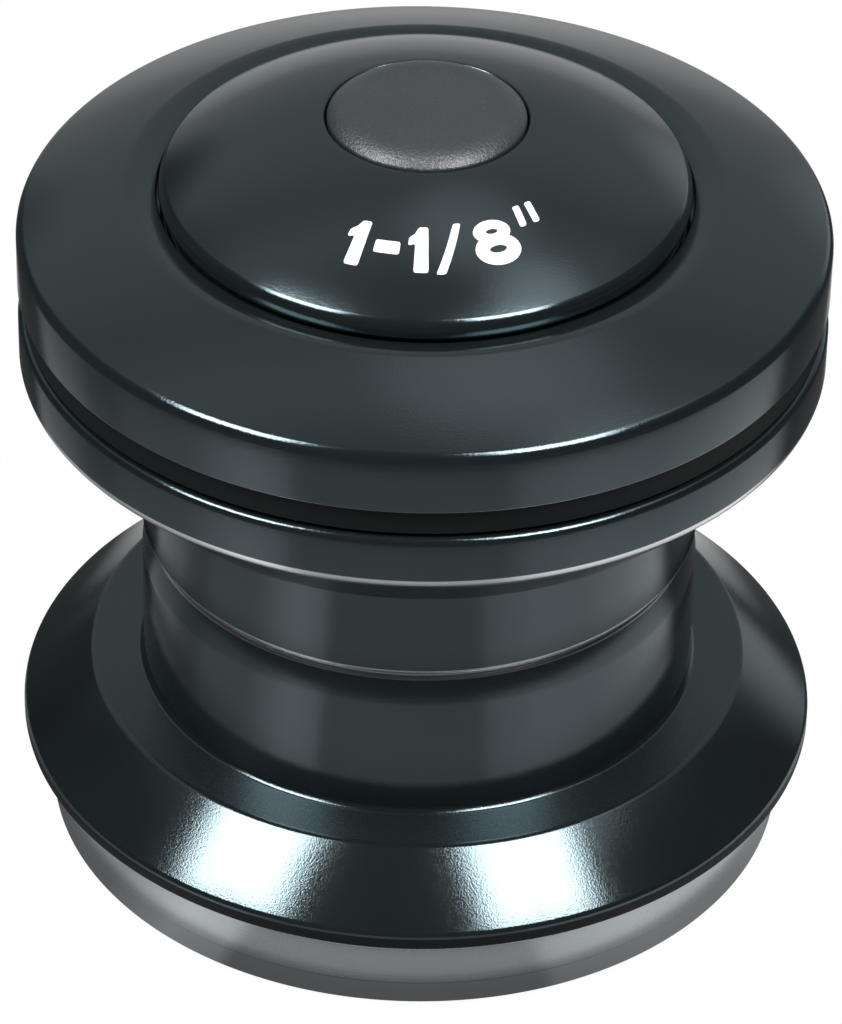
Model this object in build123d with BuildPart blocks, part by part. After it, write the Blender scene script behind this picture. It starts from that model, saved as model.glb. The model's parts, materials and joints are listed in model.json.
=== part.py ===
from build123d import *
from math import cos, radians, tan
import os

# Threadless bicycle headset, stacked as it is sold, with no frame between its two cups.
# Millimetres. Every piece is turned about the vertical steering axis, and z = 0 is the
# underside of the crown race. A profile point is (radius, height). The radii are built outwards
# from the steerer, and the heights upwards from the crown race.

# Steerer, and the room that each bore leaves round it
steerer_diameter = 28.6
steerer_clearance = 0.05
cover_room = 0.4
crown_seat_room = 0.7
bearing_room = 0.8
cup_room = 1.0

# Clearances
running_gap = 0.3
pocket_clearance = 0.02
ball_clearance = 0.03
plug_clearance = 0.12
guide_clearance = 0.1
cap_clearance = 0.12

# Bearings, both the same, with the outer race chamfered outside and the inner race inside.
# A shoulder is counted from the ring that the balls' middles lie on.
bearing_width = 5.4
bearing_height = 6.5
ball_diameter = 3.175
high_shoulder = 0.65
low_shoulder = 1.05
outer_race_land = 0.25
inner_race_land = 0.65
shield_seat_depth = 0.75
shield_seat_width = 0.3
shield_thickness = 0.4

# Crown race
crown_base_height = 1.6
crown_step = 0.15
crown_dish_gap = 0.6
crown_rim_wall = 1.9
crown_lip_gap = 1.1
crown_land = 0.7
crown_edge = 0.3

# Cups
cup_floor = 1.5
skirt_wall = 1.75
shoulder_relief = 0.25
pocket_wall = 1.03
seal_groove_width = 1.7
skirt_edge = 0.5
rim_edge = 0.32
lower_shoulder_width = 3.2
lower_cone_height = 3.45
lip_wall = 1.325
lip_height = 1.05
lower_skirt_length = 10.2
lead_in_length = 2.15
lead_in_taper = 0.5
lower_groove_depth = 1.2
upper_shoulder_width = 3.25
upper_cone_height = 3.97
rim_wall = 1.03
rim_height = 3.23
upper_skirt_length = 8.3
upper_groove_depth = 1.5

# Seals that run in the cups' grooves
seal_lip_width = 1.0
seal_body_width = 2.3
seal_setback = 0.3
seal_lip_height = 0.75
seal_shoulder = 0.4

# Compression ring
ring_foot_wall = 0.9
ring_flange_height = 2.2
ring_slot = 1.6

# Bearing cover and the square seal in its bore
cover_foot_gap = 0.75
cover_side_height = 3.85
cover_cone_height = 2.65
cover_outer_wall = 2.4
cover_hub_wall = 1.6
cover_skin = 2.0
cover_edge = 0.4
dish_width = 1.68
dish_depth = 0.45
recess_depth = 1.0
steerer_seal_section = 1.5
steerer_seal_rise = 1.1

# Top cap and plug
cap_ledge = 1.1
cap_wall_height = 1.85
cap_rim_height = 0.8
cap_undercut = 0.3
cap_edge = 0.3
cap_skirt_wall = 1.9
dome_radius = 28.0
cap_skin = 2.2
bolt_hole_diameter = 6.4
boss_wall = 2.0
boss_floor = 1.8
plug_diameter = 11.8
plug_depth = 2.735
plug_rise = 0.915
plug_crown = 0.15
plug_edge_width = 1.9
plug_edge_drop = 0.75
plug_edge_radius = 3.0
plug_rim_edge = 0.2

# Radii, outwards from the steerer
steerer_r = steerer_diameter / 2
steerer_bore_r = steerer_r + steerer_clearance
cover_bore_r = steerer_r + cover_room
crown_bore_r = steerer_r + crown_seat_room
bearing_bore_r = steerer_r + bearing_room
cup_bore_r = steerer_r + cup_room
skirt_r = cup_bore_r + skirt_wall
bearing_r = bearing_bore_r + bearing_width
pocket_r = bearing_r + pocket_clearance
groove_inner_r = pocket_r + pocket_wall
groove_outer_r = groove_inner_r + seal_groove_width
groove_middle_r = groove_inner_r + seal_groove_width / 2
lip_r = groove_outer_r + lip_wall
rim_r = groove_outer_r + rim_wall
cover_r = rim_r
cap_r = cover_bore_r + cap_ledge
recess_r = cap_r + cap_clearance
cover_top_r = recess_r + dish_width
crown_dish_r = bearing_r + crown_dish_gap
crown_r = crown_dish_r + crown_rim_wall
lip_inner_r = groove_middle_r - seal_lip_width / 2
lip_outer_r = groove_middle_r + seal_lip_width / 2
body_outer_r = cover_r - seal_setback
body_inner_r = body_outer_r - seal_body_width

# Heights, upwards from the underside of the crown race
lower_bearing_bottom = crown_base_height + running_gap
lower_bearing_top = lower_bearing_bottom + bearing_height
lower_floor = lower_bearing_top + running_gap
lower_shoulder = lower_floor + cup_floor
lip_top = lower_shoulder - lower_cone_height
lip_bottom = lip_top - lip_height
crown_rim_top = lip_bottom - crown_lip_gap
skirt_joint = lower_shoulder + lower_skirt_length
upper_shoulder = skirt_joint + upper_skirt_length
upper_floor = upper_shoulder + cup_floor
upper_bearing_bottom = upper_floor + running_gap
upper_bearing_top = upper_bearing_bottom + bearing_height
rim_bottom = upper_shoulder + upper_cone_height
rim_top = rim_bottom + rim_height
cover_foot = upper_bearing_top + cover_foot_gap
cover_side_top = cover_foot + cover_side_height
cover_top = cover_side_top + cover_cone_height
dish_floor = cover_top - dish_depth
recess_floor = dish_floor - recess_depth
ring_top = upper_bearing_top + ring_flange_height
steerer_seal_bottom = ring_top + steerer_seal_rise
steerer_seal_top = steerer_seal_bottom + steerer_seal_section
cap_wall_top = recess_floor + cap_wall_height

# Race shoulders and chamfers, and the flats of the track that the balls run in
pitch_r = bearing_bore_r + bearing_width / 2
half_bearing = bearing_height / 2
ball_r = ball_diameter / 2
outer_high_r = pitch_r + high_shoulder
outer_low_r = pitch_r + low_shoulder
inner_high_r = pitch_r - high_shoulder
inner_low_r = pitch_r - low_shoulder
outer_chamfer = bearing_r - outer_high_r - shield_seat_width - outer_race_land
inner_chamfer = inner_high_r - inner_race_land - bearing_bore_r
half_corner = 22.5
track_flat = ball_r * cos(radians(half_corner)) + ball_clearance
track_half_width = track_flat * tan(radians(half_corner))
track_corner = track_flat + track_half_width

os.makedirs("parts", exist_ok=True)

# Crown race: a dished ring with a step low on its side and a cone that carries the inner race
cone_foot_r = bearing_bore_r + inner_chamfer
cone_top_r = crown_bore_r + crown_land
cone_rise = cone_foot_r - cone_top_r
with BuildPart() as crown_race:
    with BuildSketch(Plane.XZ):
        with BuildLine():
            Polyline(
                (crown_bore_r, crown_edge),
                (crown_bore_r + crown_edge, 0),
                (crown_r - crown_step - crown_edge, 0),
                (crown_r - crown_step, crown_edge),
                (crown_r - crown_step, crown_base_height),
                (crown_r, crown_base_height + crown_step),
                (crown_r, crown_rim_top - crown_edge),
                (crown_r - crown_edge, crown_rim_top),
                (crown_dish_r, crown_rim_top),
                (crown_dish_r, crown_base_height),
                (cone_foot_r, crown_base_height),
                (cone_foot_r, lower_bearing_bottom),
                (cone_top_r, lower_bearing_bottom + cone_rise),
                (crown_bore_r, lower_bearing_bottom + cone_rise),
                close=True,
            )
        make_face()
    revolve(axis=Axis.Z)
crown_race.part.label = "crown_race"
export_step(crown_race.part, "parts/crown_race.step")

# Crown seal: a rubber ring on the rim of the crown race, with a lip up into the lower cup
crown_seal_shoulder = crown_rim_top + seal_shoulder
crown_lip_top = lip_bottom + seal_lip_height
with BuildPart() as crown_seal:
    with BuildSketch(Plane.XZ):
        with BuildLine():
            Polyline(
                (crown_dish_r, crown_rim_top),
                (crown_r - crown_edge, crown_rim_top),
                (crown_r - crown_edge, crown_seal_shoulder),
                (lip_outer_r, crown_seal_shoulder),
                (lip_outer_r, crown_lip_top),
                (lip_inner_r, crown_lip_top),
                (lip_inner_r, crown_seal_shoulder),
                (crown_dish_r, crown_seal_shoulder),
                close=True,
            )
        make_face()
    revolve(axis=Axis.Z)
crown_seal.part.label = "crown_seal"
export_step(crown_seal.part, "parts/crown_seal.step")

# Lower cup: skirt up, cone and lip down, with a 45 degree seat for the bearing
lower_shoulder_r = skirt_r + lower_shoulder_width
lower_groove_top = lip_bottom + lower_groove_depth
lower_seat_foot = lower_bearing_top - outer_chamfer - pocket_clearance
lower_seat_top_r = bearing_r - outer_chamfer - running_gap
lead_in_r = skirt_r - lead_in_taper
with BuildPart() as lower_cup:
    with BuildSketch(Plane.XZ):
        with BuildLine():
            Polyline(
                (skirt_r, lower_shoulder + shoulder_relief),
                (skirt_r + shoulder_relief, lower_shoulder),
                (lower_shoulder_r, lower_shoulder),
                (lip_r, lip_top),
                (lip_r, lip_bottom + rim_edge),
                (lip_r - rim_edge, lip_bottom),
                (groove_outer_r, lip_bottom),
                (groove_outer_r, lower_groove_top),
                (groove_inner_r, lower_groove_top),
                (groove_inner_r, lip_bottom),
                (pocket_r, lip_bottom),
                (pocket_r, lower_seat_foot),
                (lower_seat_top_r, lower_floor),
                (cup_bore_r, lower_floor),
                (cup_bore_r, skirt_joint),
                (lead_in_r - skirt_edge, skirt_joint),
                (lead_in_r, skirt_joint - skirt_edge),
                (skirt_r, skirt_joint - lead_in_length),
                close=True,
            )
        make_face()
    revolve(axis=Axis.Z)
lower_cup.part.label = "lower_cup"
export_step(lower_cup.part, "parts/lower_cup.step")

# Upper cup: skirt down, cone and rim up
upper_shoulder_r = skirt_r + upper_shoulder_width
upper_groove_bottom = rim_top - upper_groove_depth
upper_seat_top = upper_bearing_bottom + outer_chamfer + pocket_clearance
upper_seat_foot_r = bearing_r - outer_chamfer - running_gap
with BuildPart() as upper_cup:
    with BuildSketch(Plane.XZ):
        with BuildLine():
            Polyline(
                (skirt_r, upper_shoulder - shoulder_relief),
                (skirt_r + shoulder_relief, upper_shoulder),
                (upper_shoulder_r, upper_shoulder),
                (rim_r, rim_bottom),
                (rim_r, rim_top - rim_edge),
                (rim_r - rim_edge, rim_top),
                (groove_outer_r, rim_top),
                (groove_outer_r, upper_groove_bottom),
                (groove_inner_r, upper_groove_bottom),
                (groove_inner_r, rim_top),
                (pocket_r, rim_top),
                (pocket_r, upper_seat_top),
                (upper_seat_foot_r, upper_floor),
                (cup_bore_r, upper_floor),
                (cup_bore_r, skirt_joint),
                (skirt_r - skirt_edge, skirt_joint),
                (skirt_r, skirt_joint + skirt_edge),
                close=True,
            )
        make_face()
    revolve(axis=Axis.Z)
upper_cup.part.label = "upper_cup"
export_step(upper_cup.part, "parts/upper_cup.step")

# The two bearings are one design, the lower one turned over. In a bearing's own profile the
# height is counted from the middle of the balls, up towards the chamfered inner race. The balls
# in their cage are one ring of eight flats, and the races have the flats that it runs between.
bearing_frames = {
    "upper": Plane((0, 0, upper_bearing_bottom + half_bearing), (1, 0, 0), (0, -1, 0)),
    "lower": Plane((0, 0, lower_bearing_bottom + half_bearing), (1, 0, 0), (0, 1, 0)),
}
shield_seat_height = half_bearing - shield_seat_depth
shield_inner_r = inner_high_r + running_gap

for place, profile_plane in bearing_frames.items():
    with BuildPart() as outer_race:
        with BuildSketch(profile_plane):
            with BuildLine():
                Polyline(
                    (bearing_r - outer_chamfer, -half_bearing),
                    (bearing_r, outer_chamfer - half_bearing),
                    (bearing_r, half_bearing),
                    (outer_low_r + shield_seat_width, half_bearing),
                    (outer_low_r + shield_seat_width, shield_seat_height),
                    (outer_low_r, shield_seat_height),
                    (outer_low_r, track_corner - low_shoulder),
                    (pitch_r + track_flat, track_half_width),
                    (pitch_r + track_flat, -track_half_width),
                    (outer_high_r, high_shoulder - track_corner),
                    (outer_high_r, -shield_seat_height),
                    (outer_high_r + shield_seat_width, -shield_seat_height),
                    (outer_high_r + shield_seat_width, -half_bearing),
                    close=True,
                )
            make_face()
        revolve(axis=Axis.Z)
    outer_race.part.label = f"{place}_outer_race"
    export_step(outer_race.part, f"parts/{place}_outer_race.step")

    with BuildPart() as inner_race:
        with BuildSketch(profile_plane):
            with BuildLine():
                Polyline(
                    (bearing_bore_r, -half_bearing),
                    (inner_low_r, -half_bearing),
                    (inner_low_r, low_shoulder - track_corner),
                    (pitch_r - track_flat, -track_half_width),
                    (pitch_r - track_flat, track_half_width),
                    (inner_high_r, track_corner - high_shoulder),
                    (inner_high_r, half_bearing),
                    (bearing_bore_r + inner_chamfer, half_bearing),
                    (bearing_bore_r, half_bearing - inner_chamfer),
                    close=True,
                )
            make_face()
        revolve(axis=Axis.Z)
    inner_race.part.label = f"{place}_inner_race"
    export_step(inner_race.part, f"parts/{place}_inner_race.step")

    with BuildPart() as ball_ring:
        with BuildSketch(profile_plane):
            with Locations((pitch_r, 0)):
                RegularPolygon(ball_r, 8, rotation=half_corner)
        revolve(axis=Axis.Z)
    ball_ring.part.label = f"{place}_ball_ring"
    export_step(ball_ring.part, f"parts/{place}_ball_ring.step")

    shields = {
        "open_shield": (outer_low_r, shield_seat_height),
        "seat_shield": (outer_high_r, -shield_seat_height - shield_thickness),
    }
    for shield_name, (shoulder_r, shield_foot) in shields.items():
        shield_r = shoulder_r + shield_seat_width
        with BuildPart() as shield:
            with BuildSketch(profile_plane):
                with Locations((shield_inner_r, shield_foot)):
                    Rectangle(shield_r - shield_inner_r, shield_thickness, align=Align.MIN)
            revolve(axis=Axis.Z)
        shield.part.label = f"{place}_{shield_name}"
        export_step(shield.part, f"parts/{place}_{shield_name}.step")

# Compression ring: a split ring whose cone sits in the chamfer of the upper inner race
ring_foot_r = steerer_bore_r + ring_foot_wall
ring_flange_r = bearing_bore_r + inner_chamfer
ring_foot = upper_bearing_top - (ring_flange_r - ring_foot_r)
ring_height = ring_top - ring_foot
with BuildPart() as compression_ring:
    with BuildSketch(Plane.XZ):
        with BuildLine():
            Polyline(
                (steerer_bore_r, ring_foot),
                (ring_foot_r, ring_foot),
                (ring_flange_r, upper_bearing_top),
                (ring_flange_r, ring_top),
                (steerer_bore_r, ring_top),
                close=True,
            )
        make_face()
    revolve(axis=Axis.Z)
    with BuildSketch(Plane.XY.offset(ring_foot)):
        Rectangle(ring_slot, ring_flange_r, align=(Align.CENTER, Align.MIN))
    extrude(amount=ring_height, mode=Mode.SUBTRACT)
compression_ring.part.label = "compression_ring"
export_step(compression_ring.part, "parts/compression_ring.step")

# Bearing cover: a low cone with a dish round the cap, hollow underneath, and a hub that guides
# the compression ring
hub_bore_r = ring_flange_r + guide_clearance
hub_r = hub_bore_r + cover_hub_wall
cover_inner_r = cover_r - cover_outer_wall
cone_slope = cover_cone_height / (cover_r - cover_top_r)
hollow_rim = cover_side_top - cover_skin + cone_slope * cover_outer_wall
hollow_hub = cover_side_top - cover_skin + cone_slope * (cover_r - hub_r)
steerer_seal_r = steerer_bore_r + steerer_seal_section
with BuildPart() as bearing_cover:
    with BuildSketch(Plane.XZ):
        with BuildLine():
            Polyline(
                (cover_r, cover_foot),
                (cover_r, cover_side_top - cover_edge),
                (cover_r - cover_edge, cover_side_top + cone_slope * cover_edge),
                (cover_top_r, cover_top),
                (recess_r, dish_floor),
                (recess_r, recess_floor),
                (cover_bore_r, recess_floor),
                (cover_bore_r, steerer_seal_top),
                (steerer_seal_r, steerer_seal_top),
                (steerer_seal_r, steerer_seal_bottom),
                (cover_bore_r, steerer_seal_bottom),
                (cover_bore_r, ring_top),
                (hub_bore_r, ring_top),
                (hub_bore_r, cover_foot),
                (hub_r, cover_foot),
                (hub_r, hollow_hub),
                (cover_inner_r, hollow_rim),
                (cover_inner_r, cover_foot),
                close=True,
            )
        make_face()
    revolve(axis=Axis.Z)
bearing_cover.part.label = "bearing_cover"
export_step(bearing_cover.part, "parts/bearing_cover.step")

# Cover seal: a rubber ring under the foot of the cover, with a lip down into the upper cup
cover_seal_shoulder = rim_top + running_gap
cover_lip_bottom = rim_top - seal_lip_height
with BuildPart() as cover_seal:
    with BuildSketch(Plane.XZ):
        with BuildLine():
            Polyline(
                (body_inner_r, cover_foot),
                (body_inner_r, cover_seal_shoulder),
                (lip_inner_r, cover_seal_shoulder),
                (lip_inner_r, cover_lip_bottom),
                (lip_outer_r, cover_lip_bottom),
                (lip_outer_r, cover_seal_shoulder),
                (body_outer_r, cover_seal_shoulder),
                (body_outer_r, cover_foot),
                close=True,
            )
        make_face()
    revolve(axis=Axis.Z)
cover_seal.part.label = "cover_seal"
export_step(cover_seal.part, "parts/cover_seal.step")

# Steerer seal: a square ring in a groove in the bore of the cover
with BuildPart() as steerer_seal:
    with BuildSketch(Plane.XZ):
        with Locations((steerer_bore_r, steerer_seal_bottom)):
            Rectangle(steerer_seal_section, steerer_seal_section, align=Align.MIN)
    revolve(axis=Axis.Z)
steerer_seal.part.label = "steerer_seal"
export_step(steerer_seal.part, "parts/steerer_seal.step")


def dome_drop(radius, dome):
    """How far a dome of the given radius has fallen from its top, at a radius from the axis."""
    return dome - (dome**2 - radius**2) ** 0.5


# Top cap: a domed disc with an undercut wall, hollow underneath, and a recess over the bolt hole
dome_edge_r = cap_r - cap_edge
dome_edge = cap_wall_top + cap_edge
dome_top = dome_edge + dome_drop(dome_edge_r, dome_radius)
inner_dome_radius = dome_radius - cap_skin
cap_inner_r = cap_r - cap_skirt_wall
cap_foot_r = cap_r - cap_undercut
cap_rim_bottom = cap_wall_top - cap_rim_height
bolt_hole_r = bolt_hole_diameter / 2
plug_r = plug_diameter / 2
plug_recess_r = plug_r + plug_clearance
recess_lip_r = plug_recess_r + plug_rim_edge
recess_lip = dome_top - dome_drop(recess_lip_r, dome_radius)
plug_seat = recess_lip - plug_depth
plug_top = recess_lip + plug_rise
boss_r = plug_recess_r + boss_wall
boss_top = dome_top - cap_skin - dome_drop(boss_r, inner_dome_radius)
boss_bottom = plug_seat - boss_floor
cap_wall_inner_top = dome_top - cap_skin - dome_drop(cap_inner_r, inner_dome_radius)
with BuildPart() as top_cap:
    with BuildSketch(Plane.XZ):
        with BuildLine():
            Polyline(
                (recess_lip_r, recess_lip),
                (plug_recess_r, recess_lip - plug_rim_edge),
                (plug_recess_r, plug_seat),
                (bolt_hole_r, plug_seat),
                (bolt_hole_r, boss_bottom),
                (boss_r, boss_bottom),
                (boss_r, boss_top),
            )
            RadiusArc((boss_r, boss_top), (cap_inner_r, cap_wall_inner_top), inner_dome_radius)
            Polyline(
                (cap_inner_r, cap_wall_inner_top),
                (cap_inner_r, recess_floor),
                (cap_foot_r, recess_floor),
                (cap_foot_r, cap_rim_bottom),
                (cap_r, cap_rim_bottom),
                (cap_r, cap_wall_top),
                (dome_edge_r, dome_edge),
            )
            RadiusArc((dome_edge_r, dome_edge), (recess_lip_r, recess_lip), -dome_radius)
        make_face()
    revolve(axis=Axis.Z)
top_cap.part.label = "top_cap"
export_step(top_cap.part, "parts/top_cap.step")

# Cap plug: a soft round plug with a pillow edge, which fills the recess and stands proud of it
plug_face_r = plug_r - plug_edge_width
plug_face = plug_top - plug_crown
plug_wall_top = plug_face - plug_edge_drop
plug_crown_radius = (plug_face_r**2 + plug_crown**2) / (2 * plug_crown)
with BuildPart() as cap_plug:
    with BuildSketch(Plane.XZ):
        with BuildLine():
            Polyline((0, plug_top), (0, plug_seat), (plug_r, plug_seat), (plug_r, plug_wall_top))
            RadiusArc((plug_r, plug_wall_top), (plug_face_r, plug_face), -plug_edge_radius)
            RadiusArc((plug_face_r, plug_face), (0, plug_top), -plug_crown_radius)
        make_face()
    revolve(axis=Axis.Z)
cap_plug.part.label = "cap_plug"
export_step(cap_plug.part, "parts/cap_plug.step")
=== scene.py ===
"""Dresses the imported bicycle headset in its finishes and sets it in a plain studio."""

import json
import logging
import math
from dataclasses import dataclass, field, replace
from enum import Enum
from functools import cached_property
from typing import Callable, Sequence

import bmesh
import bpy
from mathutils import Matrix, Vector


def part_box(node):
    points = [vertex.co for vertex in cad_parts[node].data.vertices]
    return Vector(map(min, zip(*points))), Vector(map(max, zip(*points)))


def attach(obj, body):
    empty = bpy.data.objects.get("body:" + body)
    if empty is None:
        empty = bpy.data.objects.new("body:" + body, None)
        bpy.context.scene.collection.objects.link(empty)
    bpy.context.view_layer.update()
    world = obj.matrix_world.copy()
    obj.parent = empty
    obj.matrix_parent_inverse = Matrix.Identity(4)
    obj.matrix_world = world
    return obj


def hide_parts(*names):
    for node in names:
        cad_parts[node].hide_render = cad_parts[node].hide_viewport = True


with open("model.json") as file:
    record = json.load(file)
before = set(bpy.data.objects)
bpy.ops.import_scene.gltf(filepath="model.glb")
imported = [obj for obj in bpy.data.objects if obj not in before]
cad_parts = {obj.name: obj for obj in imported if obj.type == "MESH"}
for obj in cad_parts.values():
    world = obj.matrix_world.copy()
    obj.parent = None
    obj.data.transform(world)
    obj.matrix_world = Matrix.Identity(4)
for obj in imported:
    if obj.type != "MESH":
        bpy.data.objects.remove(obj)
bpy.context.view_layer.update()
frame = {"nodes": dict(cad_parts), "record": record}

MM = 0.001

# How sections are turned: steps, flats of a rounding, the angle shaded smooth and the distance that merges.
TURN_STEPS = 224
ROUND_FLATS = 4
SMOOTH_ANGLE = math.radians(24)
TOUCH = 1e-7

# Radii of the record's mounts, in millimetres. The clamp is a little wider than the steerer in it.
MOUNT_RADII = {m["name"]: m["dims"]["r_mm"] for m in frame["record"]["mounts"] if "r_mm" in m["dims"]}
CLAMP_ROOM = 0.05
STEERER = MOUNT_RADII["steerer_clamp"] - CLAMP_ROOM

log = logging.getLogger("headset")


class Body(str, Enum):
    """The bodies that the new pieces ride on."""

    CUPS = "cups"
    COVER_SIDE = "cover_side"
    CROWN_SIDE = "crown_side"


class Slot(str, Enum):
    """The record's material slots that the new pieces name; the script doesn't apply them."""

    BLACK_ALLOY = "black_alloy"
    PALE_STEEL = "pale_steel"
    PLUG_RUBBER = "plug_rubber"


class Graph:
    """A node tree with short calls for adding and joining nodes.

    A Mix node's colour sockets come after its sockets for numbers and vectors.
    """

    mix_first: int = 6
    mix_second: int = 7
    mix_result: int = 2

    def __init__(self, tree: bpy.types.NodeTree) -> None:
        """Clears the tree.

        Args:
            tree: the node tree of a material, a world or a group.
        """
        self.tree = tree
        tree.nodes.clear()

    def add(self, kind: str, settings: dict | None = None, **inputs: object) -> bpy.types.Node:
        """Adds a node.

        Args:
            kind: the node's Blender type.
            settings: properties of the node.
            inputs: socket names, with _ for a space, and their values or the sockets to link.

        Returns:
            The new node.
        """
        node = self.tree.nodes.new(kind)
        for name, value in (settings or {}).items():
            setattr(node, name, value)
        for name, value in inputs.items():
            self.feed(node.inputs[name.replace("_", " ")], value)
        return node

    def feed(self, socket: bpy.types.NodeSocket, value: object) -> None:
        """Links a socket to another one, or sets its own value.

        Args:
            socket: the input.
            value: an output socket to link, or a plain value.
        """
        if isinstance(value, bpy.types.NodeSocket):
            self.tree.links.new(value, socket)
        else:
            socket.default_value = value

    def maths(self, operation: str, first: object, second: object = 0.0) -> bpy.types.NodeSocket:
        """Adds a math node.

        Args:
            operation: the operation's Blender name.
            first: the first value or socket.
            second: the second value or socket.

        Returns:
            The result's socket.
        """
        node = self.add("ShaderNodeMath", {"operation": operation})
        self.feed(node.inputs[0], first)
        self.feed(node.inputs[1], second)
        return node.outputs[0]

    def blend(self, factor: object, first: object, second: object) -> bpy.types.NodeSocket:
        """Mixes two colours.

        Args:
            factor: the share of the second colour.
            first: the first colour or socket.
            second: the second colour or socket.

        Returns:
            The mixed colour's socket.
        """
        node = self.add("ShaderNodeMix", {"data_type": "RGBA"})
        self.feed(node.inputs[0], factor)
        self.feed(node.inputs[self.mix_first], first)
        self.feed(node.inputs[self.mix_second], second)
        return node.outputs[self.mix_result]

    def spread(self, value: object, low: float, high: float, start: float = 0.0,
               end: float = 1.0) -> bpy.types.NodeSocket:
        """Maps one range onto another.

        Args:
            value: the socket to map.
            low: the result at the start.
            high: the result at the end.
            start: where the first range starts.
            end: where the first range ends.

        Returns:
            The mapped value's socket.
        """
        return self.add("ShaderNodeMapRange", Value=value, To_Min=low, To_Max=high, From_Min=start,
                        From_Max=end).outputs[0]

    def steps(self, value: object, stops: Sequence[tuple[float, float]]) -> bpy.types.NodeSocket:
        """Looks a level up between stops.

        Args:
            value: the socket to look up, from 0 to 1.
            stops: places from 0 to 1 and the level at each one.

        Returns:
            The level's socket.
        """
        node = self.add("ShaderNodeValToRGB", Fac=value)
        ramp = node.color_ramp
        for place, level in stops[1:-1]:
            ramp.elements.new(place).color = (level, level, level, 1)
        for element, (place, level) in zip((ramp.elements[0], ramp.elements[-1]), (stops[0], stops[-1])):
            element.position = place
            element.color = (level, level, level, 1)
        return node.outputs[0]

    def off_axis(self, parts: bpy.types.Node) -> bpy.types.NodeSocket:
        """Measures how far a place is from the steering axis.

        Args:
            parts: the node that separates the place's coordinates.

        Returns:
            The distance's socket.
        """
        flat = self.add("ShaderNodeCombineXYZ", X=parts.outputs["X"], Y=parts.outputs["Y"])
        length = self.add("ShaderNodeVectorMath", {"operation": "LENGTH"}, Vector=flat.outputs[0])
        return length.outputs["Value"]


def new_group(name: str, inputs: dict[str, float],
              outputs: Sequence[str]) -> tuple[bpy.types.NodeTree, Graph]:
    """Starts a shader node group.

    Args:
        name: the group's name.
        inputs: names and default values of its number inputs.
        outputs: names of its number outputs.

    Returns:
        The group and its graph.
    """
    tree = bpy.data.node_groups.new(name, "ShaderNodeTree")
    graph = Graph(tree)
    for label, value in inputs.items():
        socket = tree.interface.new_socket(label, in_out="INPUT", socket_type="NodeSocketFloat")
        socket.default_value = value
    for label in outputs:
        tree.interface.new_socket(label, in_out="OUTPUT", socket_type="NodeSocketFloat")
    return tree, graph


class Effects:
    """The effects that several finishes share, each a node group built once. Sizes in metres."""

    grain_size: float = 0.0002
    wave_scale: float = 0.45
    pit_share: float = 0.85
    cloud_scale: float = 160.0
    speck_start: float = 0.62
    speck_full: float = 0.74
    ring_pitch: float = 0.00012

    def __init__(self) -> None:
        """Builds the groups."""
        self.grain = self.build_grain()
        self.turning = self.build_turning()

    def build_grain(self) -> bpy.types.NodeTree:
        """Builds the fine pits of a blasted or moulded surface.

        Returns:
            A group with Size in metres, and Height, Speck and Cloud from 0 to 1.
        """
        tree, graph = new_group("surface_grain", {"Size": self.grain_size}, ("Height", "Speck", "Cloud"))
        start = graph.add("NodeGroupInput")
        place = graph.add("ShaderNodeTexCoord").outputs["Object"]
        fine = graph.maths("DIVIDE", 1.0, start.outputs["Size"])
        broad = graph.maths("MULTIPLY", fine, self.wave_scale)
        pits = graph.add("ShaderNodeTexNoise", Vector=place, Scale=fine, Detail=2.0, Roughness=0.6)
        waves = graph.add("ShaderNodeTexNoise", Vector=place, Scale=broad, Detail=1.0)
        clouds = graph.add("ShaderNodeTexNoise", Vector=place, Scale=self.cloud_scale, Detail=3.0)
        height = graph.maths("ADD", graph.maths("MULTIPLY", pits.outputs[0], self.pit_share),
                             graph.maths("MULTIPLY", waves.outputs[0], 1 - self.pit_share))
        speck = graph.spread(pits.outputs[0], 0.0, 1.0, self.speck_start, self.speck_full)
        end = graph.add("NodeGroupOutput")
        graph.feed(end.inputs["Height"], height)
        graph.feed(end.inputs["Speck"], speck)
        graph.feed(end.inputs["Cloud"], clouds.outputs[0])
        return tree

    def build_turning(self) -> bpy.types.NodeTree:
        """Builds the fine rings that a lathe leaves.

        Returns:
            A group with Pitch in metres, and Height from 0 to 1.
        """
        tree, graph = new_group("turning_rings", {"Pitch": self.ring_pitch}, ("Height",))
        start = graph.add("NodeGroupInput")
        place = graph.add("ShaderNodeTexCoord").outputs["Object"]
        parts = graph.add("ShaderNodeSeparateXYZ", Vector=place)
        across = graph.add("ShaderNodeCombineXYZ", X=graph.off_axis(parts), Y=parts.outputs["Z"])
        often = graph.maths("DIVIDE", 1.0, start.outputs["Pitch"])
        rings = graph.add("ShaderNodeTexNoise", {"noise_dimensions": "2D"}, Vector=across.outputs[0],
                          Scale=often, Detail=2.0)
        end = graph.add("NodeGroupOutput")
        graph.feed(end.inputs["Height"], rings.outputs[0])
        return tree


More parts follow.
